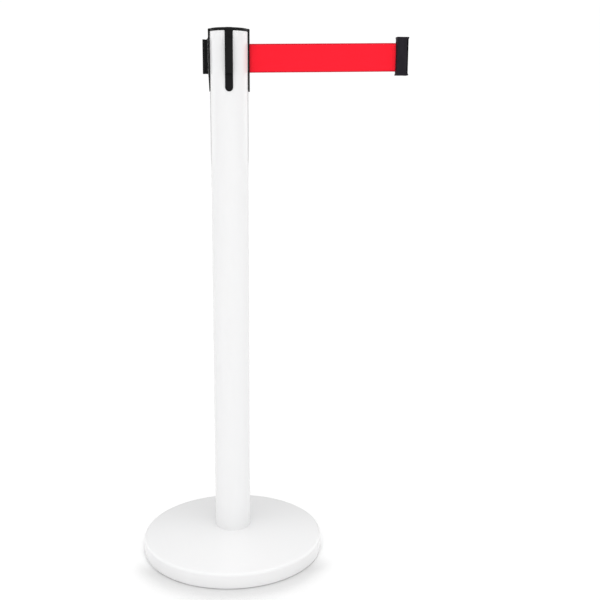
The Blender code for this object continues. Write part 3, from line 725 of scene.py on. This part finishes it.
def make_rail(side, azimuth):
    """A T-rail with soft edges, a lead-in at its top and a small gusset up to its rib."""
    low, high = rail_low.z, rail_high.z
    back = RIB_R + GAP
    head_back = RAIL_R - 3.9 * MM
    neck_back = head_back - 2.6 * MM
    neck_half, head_half, gusset_half = 3.1 * MM, 6.2 * MM, 5.2 * MM
    half = [
        (back, RIB_HALF_W),
        (neck_back, RIB_HALF_W),
        (neck_back, neck_half),
        (head_back, neck_half),
        (head_back, head_half),
        (RAIL_R, head_half),
    ]
    rail = bevelled(prism(f"t_rail_{side}", mirrored(half), low, high), 0.55 * MM)
    curve = arc((neck_back + 0.4 * MM, high + 3.0 * MM), 2.6 * MM, 180.0, 262.0, 8)
    gusset_x, gusset_low = neck_back - 0.3 * MM, high - 1.0 * MM
    gusset = [(back, gusset_low), (gusset_x, gusset_low)]
    gusset += [(min(x, gusset_x), z) for x, z in reversed(curve) if x > back + 0.05 * MM]
    gusset.append((back, high + 3.2 * MM))
    combine(rail, prism("gusset", gusset, -gusset_half, gusset_half, "Y"), "UNION")
    turned_about_post(rail, azimuth)
    weighted(smoothed(rail, 40.0))
    return dressed(rail, BLACK, "black_abs", "root", f"receiver_rail_{side}")


def cap_outline(inset):
    """The cap in plan: a disc with an ear over each rib, drawn in by the inset."""
    overhang, ear_fillet = 0.3 * MM, 1.0 * MM
    disc_r, ear_r, ear_half = POST_R + overhang - inset, cap_high.x - inset, RIB_HALF_W - inset
    half_angle = math.degrees(math.asin(ear_half / disc_r))
    corners, radii = [], []
    for quarter in (0.0, 90.0, 180.0, 270.0):
        a = math.radians(quarter)
        along, across = (math.cos(a), math.sin(a)), (-math.sin(a), math.cos(a))
        for y in (-ear_half, ear_half):
            corners.append(tuple(ear_r * p + y * q for p, q in zip(along, across)))
        rim = arc((0.0, 0.0), disc_r, quarter + half_angle, quarter + 90.0 - half_angle, 40)
        corners += rim
        radii += [ear_fillet, ear_fillet] + [0.0] * len(rim)
    return filleted(corners, radii, 4)


def screw_axis(low, high):
    return ((low.x + high.x) / 2, (low.y + high.y) / 2)


def make_head_cap():
    """The cap: a soft upper edge, an ear over each rib, a shallow ring and two countersinks in its top."""
    bottom, top = cap_high.z - CAP_T, cap_high.z
    soft_r, low_r = 1.8 * MM, 0.3 * MM
    # inset and height
    sections = [(low_r, bottom), (0.3 * low_r, bottom + 0.3 * low_r), (0.0, bottom + low_r)]
    sections += arc((soft_r, top - soft_r), soft_r, 180.0, 90.0, 7)
    rows = [[(x, y, z) for x, y in cap_outline(inset)] for inset, z in sections]
    piece = loft("cap_plate", rows)
    groove = [
        (27.4 * MM, top - 0.45 * MM),
        (28.2 * MM, top - 0.45 * MM),
        (28.5 * MM, top + 1.0 * MM),
        (27.1 * MM, top + 1.0 * MM),
    ]
    combine(piece, lathe("cap_groove", groove, 128), "DIFFERENCE")
    for node in ("cap_screw_1", "cap_screw_2"):
        low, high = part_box(node)
        hole_r, sink_r = 1.7 * MM, 3.1 * MM
        sink = [
            (0.0, high.z - 3.0 * MM),
            (hole_r, high.z - 3.0 * MM),
            (hole_r, high.z - 1.6 * MM),
            (sink_r, high.z - 0.2 * MM),
            (sink_r, high.z + 1.0 * MM),
            (0.0, high.z + 1.0 * MM),
        ]
        combine(piece, lathe("sink", sink, 48, screw_axis(low, high)), "DIFFERENCE")
    weighted(smoothed(piece, 35.0))
    return dressed(piece, BLACK, "black_abs", "root", "head_cap")


def make_cap_screw(number):
    """A countersunk screw with a cross recess."""
    node = f"cap_screw_{number}"
    low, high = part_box(node)
    centre = screw_axis(low, high)
    head_r, shank_r, chamfer = (high.x - low.x) / 2, 1.4 * MM, 0.15 * MM
    outline = [
        (0.0, high.z),
        (head_r - chamfer, high.z),
        (head_r, high.z - chamfer),
        (head_r, high.z - 2 * chamfer),
        (shank_r, high.z - 1.7 * MM),
        (shank_r, low.z),
        (0.0, low.z),
    ]
    piece = lathe(f"cross_screw_{number}", outline, 48, centre)
    wide, thin = 1.55 * MM, 0.32 * MM
    for turn in (25.0, 115.0):
        bar = block("bar", (-wide, -thin, high.z - 1.0 * MM), (wide, thin, high.z + 0.5 * MM))
        turned_about_post(bar, turn)
        bar.data.transform(Matrix.Translation((*centre, 0.0)))
        combine(piece, bar, "DIFFERENCE")
    smoothed(piece, 30.0)
    return dressed(piece, ZINC, "steel", "root", node)


# ---------------------------------------------------------------- belt
def belt_ring(place, heading, middle_z, front, back):
    """The belt's outline across one place on its path: flat faces between slightly thicker woven edges."""
    half = BELT_HALF_W
    swell = 0.07 * MM
    across = [-half, -half + 0.25 * MM, -half + 0.9 * MM, -half + SELVEDGE_W]
    across += [half * k / 4 for k in range(-3, 4)]
    across += [-z for z in reversed(across[:4])]
    rise = [0.0, swell, swell, 0.0] + [0.0] * 7 + [0.0, swell, swell, 0.0]
    tuck = (back - front) * 0.28
    turn = math.radians(heading)

    def point(offset, z):
        return (place[0] - offset * math.sin(turn), place[1] + offset * math.cos(turn), middle_z + z)

    fronts, backs = [], []
    for z, more in zip(across, rise):
        end = tuck if abs(abs(z) - half) < 1e-9 else 0.0
        fronts.append(point(front - more + end, z))
        backs.append(point(back + more - end, z))
    return fronts + list(reversed(backs))


def belt_z(x):
    """Height of the belt's middle line."""
    share = (x - STRAP_ROOT_X) / (STRAP_END_X - STRAP_ROOT_X)
    return BELT_MID_Z + BELT_RISE * min(max(share, 0.0), 1.0)


def make_belt_strap():
    """The belt from the roll, round the outlet's lip and out to its hem in the clip.

    The drawn part has stations only at its two ends, so that it stays straight in all poses.
    """
    half_t = BELT_T / 2
    roll_r = roll_high.x + GAP + half_t
    leave = math.acos((roll_r + LEAD_BEND_R) / math.hypot(STRAP_ROOT_X, LEAD_BEND_R))
    leave = math.degrees(leave + math.atan2(LEAD_BEND_R, STRAP_ROOT_X))
    start = (roll_r * math.cos(math.radians(leave)), roll_r * math.sin(math.radians(leave)))
    rows = [belt_ring(start, leave - 90.0, BELT_MID_Z, -half_t, half_t)]
    steps = 8
    bend = arc((STRAP_ROOT_X, LEAD_BEND_R), LEAD_BEND_R, 180.0 + leave, 270.0, steps)
    for k, place in enumerate(bend):
        rows.append(belt_ring(place, (leave - 90.0) * (1 - k / steps), BELT_MID_Z, -half_t, half_t))
    pressed, fold = 0.05 * MM, 0.62 * MM  # the hem's fold lies on the rear face
    # place along the belt, front face, rear face
    ends = [
        (STRAP_END_X, -half_t, half_t),
        (HEM_X, -half_t, half_t + 0.1 * MM),
        (HEM_X + 0.35 * MM, -half_t - pressed, half_t + fold),
        (CLIP_X0 - 3.0 * MM, -half_t - pressed, half_t + fold),
        (CLIP_X0 + IN_CLIP, -half_t - pressed, half_t + 0.50 * MM),
    ]
    rows += [belt_ring((x, 0.0), 0.0, belt_z(x), front, back) for x, front, back in ends]
    piece = smoothed(loft("belt_webbing", rows), 60.0)
    mesh = piece.data
    mesh.materials.append(RED)
    mesh.materials.append(SELVEDGE_PAINTED_SHADE)
    # faces along both edges take the darker red: painted shade on the belt's edges
    for face in mesh.polygons:
        if abs(face.center.z - belt_z(face.center.x)) > BELT_HALF_W - SELVEDGE_W + 0.1 * MM:
            face.material_index = 1
    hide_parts("belt_strap", "belt_lead")
    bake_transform(piece)
    return piece


def add_stitch(bm, x, face_y, z):
    """One stitch: a bowed run of thread that dips into the belt at both ends."""
    length, thread_r, bow, sunk, sides = 1.9 * MM, 0.17 * MM, 0.16 * MM, 0.06 * MM, 8
    way = -1 if face_y < 0 else 1
    rows = []
    for t in (-0.5, -0.3, 0.0, 0.3, 0.5):
        y = face_y + way * (math.sin(math.pi * (t + 0.5)) * bow - sunk)
        r = thread_r * (0.45 if abs(t) == 0.5 else 1.0)
        turns = [2 * math.pi * k / sides for k in range(sides)]
        rows.append([(x + r * math.cos(a), y + r * math.sin(a) * 0.8, z + t * length) for a in turns])
    add_skin(bm, rows)


def make_stitching():
    """Two rows of stitches down the hem, seen on both faces of the belt."""
    bm = bmesh.new()
    pitch, end_margin = 2.6 * MM, 2 * MM
    count = int((2 * BELT_HALF_W - 2 * end_margin) / pitch)
    for column in (CLIP_X0 - 6.6 * MM, CLIP_X0 - 3.4 * MM):
        for face_y in (-BELT_T / 2 - 0.08 * MM, BELT_T / 2 + 0.65 * MM):
            for k in range(count):
                add_stitch(bm, column, face_y, belt_z(column) + (k - (count - 1) / 2) * pitch)
    piece = smoothed(new_object("hem_stitching", mesh_of(bm, "hem_stitching")), 50.0)
    return dressed(piece, THREAD, "red_webbing", "belt_end")


# ---------------------------------------------------------------- clip
def make_clip():
    """The moulded clip, flared at both ends.

    It has a bead round the belt's slot, a bore for the belt's pin, a channel for a rail and two side grooves.
    """
    low, high = clip_low.z, clip_high.z
    half = clip_high.y
    left, right, front = 0.5 * MM, 0.9 * MM, 0.9 * MM  # how far the body stands in behind its ends
    corner_radii = [1.9 * MM, 0.9 * MM, 0.9 * MM, 1.9 * MM]

    def plan(share, left_more=0.0):
        x0 = CLIP_X0 + share * left - left_more
        x1 = CLIP_X1 - share * right
        y = half - share * front
        return filleted([(x0, -y), (x1, -y), (x1, y), (x0, y)], corner_radii, 6)

    # from either end: height in mm, and how much of the inset is reached
    flare = [(0.0, 0.55), (0.15, 0.2), (0.5, 0.0), (1.2, 0.0)]
    flare += [(1.9, 0.25), (2.6, 0.65), (3.6, 0.92), (5.0, 1.0)]
    foot = 0.4 * MM  # the lower end reaches this much further towards the belt
    rows = []
    for h, share in flare:
        rows.append([(x, y, low + h * MM) for x, y in plan(share, foot * (1 - share))])
    for h, share in reversed(flare):
        rows.append([(x, y, high - h * MM) for x, y in plan(share)])
    body = loft("clip_moulding", rows)

    end_low, end_high = END_MID_Z - BELT_HALF_W, END_MID_Z + BELT_HALF_W
    bead_half, bead_margin = 2.6 * MM, 1.8 * MM
    bead = block(
        "belt_bead",
        (CLIP_X0 - 0.5 * MM, -bead_half, end_low - bead_margin),
        (CLIP_X0 + 2.5 * MM, bead_half, end_high + bead_margin),
    )
    combine(body, bevelled(bead, 0.5 * MM), "UNION")

    lip_x = CLIP_X1 - 2.0 * MM
    channel_x = lip_x - 3.9 * MM - 0.5 * MM
    channel_half, mouth_half = 6.6 * MM, 3.7 * MM
    channel_top = rail_high.z + GAP
    below = low - 5 * MM
    pocket = block("pocket", (channel_x, -channel_half, below), (lip_x, channel_half, channel_top))
    combine(body, pocket, "DIFFERENCE")
    mouth = block("mouth", (lip_x - MM, -mouth_half, below), (CLIP_X1 + 5 * MM, mouth_half, channel_top))
    combine(body, mouth, "DIFFERENCE")

    bore_r, bore_x, bore_top = 3.4 * MM, CLIP_X0 + 5.2 * MM, end_high + 2 * MM
    bore = [(0.0, below), (bore_r, below), (bore_r, bore_top), (0.0, bore_top)]
    combine(body, lathe("bore", bore, 48, (bore_x, 0.0)), "DIFFERENCE")
    slot_half, flared_half = 1.3 * MM, 1.7 * MM
    slot = [
        (CLIP_X0 - 3.0 * MM, -flared_half),
        (CLIP_X0 - 0.2 * MM, -flared_half),
        (CLIP_X0 + 0.3 * MM, -slot_half),
        (bore_x, -slot_half),
    ]
    combine(body, prism("belt_slot", mirrored(slot), end_low - MM, end_high + MM), "DIFFERENCE")

    groove_x0, groove_x1, groove_y = CLIP_X1 - 3.1 * MM, CLIP_X1 - 1.3 * MM, 7.1 * MM
    end_margin = 3.4 * MM
    for y0, y1 in ((-half - MM, -groove_y), (groove_y, half + MM)):
        groove = block("groove", (groove_x0, y0, low + end_margin), (groove_x1, y1, high - end_margin))
        combine(body, groove, "DIFFERENCE")
    body.data.materials.append(CHARCOAL)
    body.data.materials.append(GROOVE_PAINTED_SHADE)
    # the faces inside the side grooves take the second material: painted shade, darker than the clip's own
    # plastic
    near = 0.01 * MM
    for face in body.data.polygons:
        x, y, _ = face.center
        inside = groove_x0 - near < x < groove_x1 + near
        if inside and groove_y - near < abs(y) < half - front - near:
            face.material_index = 1
    smoothed(body, 35.0)
    return dressed(body, CHARCOAL, "black_abs", "belt_end", "clip_body")


# ---------------------------------------------------------------- the object
refinish_nodes()
make_floor_ring()
make_base_weight()
make_base_cover()
make_clamp_bolt()
make_post_tube()
make_head_moulding()
for rail_side, rail_azimuth in (("front", -90.0), ("left", 180.0), ("rear", 90.0)):
    make_rail(rail_side, rail_azimuth)
make_head_cap()
make_cap_screw(1)
make_cap_screw(2)
strap = make_belt_strap()
stitching = make_stitching()
make_clip()


# ---------------------------------------------------------------- floor, light and camera
def make_floor():
    """A white floor with a soft contact shadow painted into its colour along the front of the base."""
    bm = bmesh.new()
    bmesh.ops.create_circle(bm, cap_ends=True, radius=14.0, segments=96)
    floor = new_object("studio_floor", mesh_of(bm, "studio_floor"))
    plain, shaded = (0.88, 0.88, 0.88), (0.65, 0.65, 0.65)
    s = Surface("studio_floor", plain, 1.0, specular=0.0)
    lean = math.radians(25.0)  # of the open sky towards the rear
    towards_sky = s.node("ShaderNodeCombineXYZ", {"Y": math.sin(lean), "Z": math.cos(lean)}).outputs[0]
    inputs = {"Distance": 110.0 * MM, "Normal": towards_sky}
    sky = s.node("ShaderNodeAmbientOcclusion", inputs, samples=12).outputs["AO"]
    shade = s.stepped(sky, 0.92, 0.74)
    y = s.node("ShaderNodeSeparateXYZ", {0: s.coords}).outputs["Y"]
    ahead = s.stepped(y, -40.0 * MM, -105.0 * MM)
    # painted shadow: the floor's colour darkens where the leaned occlusion test meets the base, only ahead of
    # it
    s.drive(colour=s.mixed(s.maths("MULTIPLY", shade, ahead), plain, shaded))
    s.shader.inputs["Emission Color"].default_value = (1.0, 1.0, 1.0, 1.0)
    s.shader.inputs["Emission Strength"].default_value = 0.045
    floor.data.materials.append(s.material)


# The soft boxes round the object, which add to or take from an even base, all in degrees but the strength:
# azimuth from +Y towards +X, elevation, full strength within this angle, nothing beyond this one, strength.
# These light the object:
DIFFUSE_BASE = 0.62
DIFFUSE_BOXES = (
    (180.0, 8.0, 10.0, 45.0, 0.85),
    (180.0, 40.0, 10.0, 45.0, 0.17),
    (-110.0, 10.0, 10.0, 40.0, 0.40),
    (110.0, 10.0, 10.0, 40.0, 0.40),
    (0.0, 5.0, 10.0, 50.0, -0.30),
    (0.0, 88.0, 8.0, 50.0, 1.30),
)
# These are mirrored in it:
GLOSSY_BASE = 0.78
GLOSSY_BOXES = (
    (180.0, 5.0, 20.0, 60.0, 0.20),
    (0.0, 42.0, 12.0, 45.0, -0.12),
    (-62.0, 0.0, 8.0, 34.0, 0.85),
    (62.0, 0.0, 8.0, 34.0, 1.05),
    (-22.0, 0.0, 10.0, 26.0, -0.50),
    (22.0, 0.0, 10.0, 26.0, -0.50),
    (0.0, 0.0, 10.0, 30.0, -0.30),
)
# And this is what the camera sees behind it:
BACKDROP = 1.02


def make_world():
    """A white studio, with its own soft boxes for the diffuse light and for the gloss, and an even level for
    the backdrop.
    """
    world = bpy.data.worlds.new("studio")
    world.use_nodes = True
    SCENE.world = world
    tree = world.node_tree
    background = tree.nodes["Background"]

    def link(value, socket):
        if isinstance(value, bpy.types.NodeSocket):
            tree.links.new(value, socket)
        else:
            socket.default_value = value

    def maths(operation, first, second=0.0, third=0.0):
        made = tree.nodes.new("ShaderNodeMath")
        made.operation = operation
        for socket, value in zip(made.inputs, (first, second, third)):
            link(value, socket)
        return made.outputs[0]

    def glow(azimuth, elevation, inner, outer):
        """1 near the given direction, easing to 0 away from it."""
        a, e = math.radians(azimuth), math.radians(elevation)
        dot = tree.nodes.new("ShaderNodeVectorMath")
        dot.operation = "DOT_PRODUCT"
        link(way, dot.inputs[0])
        dot.inputs[1].default_value = (math.sin(a) * math.cos(e), math.cos(a) * math.cos(e), math.sin(e))
        made = tree.nodes.new("ShaderNodeMapRange")
        made.interpolation_type = "SMOOTHSTEP"
        link(dot.outputs["Value"], made.inputs["Value"])
        made.inputs["From Min"].default_value = math.cos(math.radians(outer))
        made.inputs["From Max"].default_value = math.cos(math.radians(inner))
        return made.outputs[0]

    def light(base, boxes):
        total = base
        for azimuth, elevation, inner, outer, strength in boxes:
            total = maths("MULTIPLY_ADD", glow(azimuth, elevation, inner, outer), strength, total)
        return total

    def switched(share, first, second):
        """The first value where the share is 0, the second where it is 1."""
        made = tree.nodes.new("ShaderNodeMix")
        for index, value in ((0, share), (2, first), (3, second)):
            link(value, made.inputs[index])
        return made.outputs[0]

    way = tree.nodes.new("ShaderNodeTexCoord").outputs["Generated"]
    ray = tree.nodes.new("ShaderNodeLightPath").outputs
    lit = light(DIFFUSE_BASE, DIFFUSE_BOXES)
    mirrored = light(GLOSSY_BASE, GLOSSY_BOXES)
    total = switched(ray["Is Glossy Ray"], lit, mirrored)
    total = switched(ray["Is Camera Ray"], total, BACKDROP)
    background.inputs["Color"].default_value = (1.0, 1.0, 1.0, 1.0)
    link(total, background.inputs["Strength"])


CAMERA_PLACE = (0.0065, -1.5134, 0.7723)
CAMERA_TURN = (11.7034, 4.2849, 0.4101)  # down, to the right, and about its own axis
CAMERA_LENS = 53.27


def make_camera():
    pitch, yaw, roll = (math.radians(angle) for angle in CAMERA_TURN)
    ahead = Vector((math.sin(yaw) * math.cos(pitch), math.cos(yaw) * math.cos(pitch), -math.sin(pitch)))
    right = Vector((math.cos(yaw), -math.sin(yaw), 0.0))
    up = right.cross(ahead)
    level = right * math.cos(roll) + up * math.sin(roll)
    upright = up * math.cos(roll) - right * math.sin(roll)
    camera = bpy.data.objects.new("camera", bpy.data.cameras.new("camera"))
    SCENE.collection.objects.link(camera)
    camera.data.lens = CAMERA_LENS
    camera.data.sensor_width = 36.0
    camera.matrix_world = Matrix.Translation(CAMERA_PLACE) @ Matrix(
        (
            (level.x, upright.x, -ahead.x, 0.0),
            (level.y, upright.y, -ahead.y, 0.0),
            (level.z, upright.z, -ahead.z, 0.0),
            (0.0, 0.0, 0.0, 1.0),
        )
    )
    SCENE.camera = camera


make_floor()
make_world()
make_camera()
SCENE.view_settings.view_transform = "Standard"
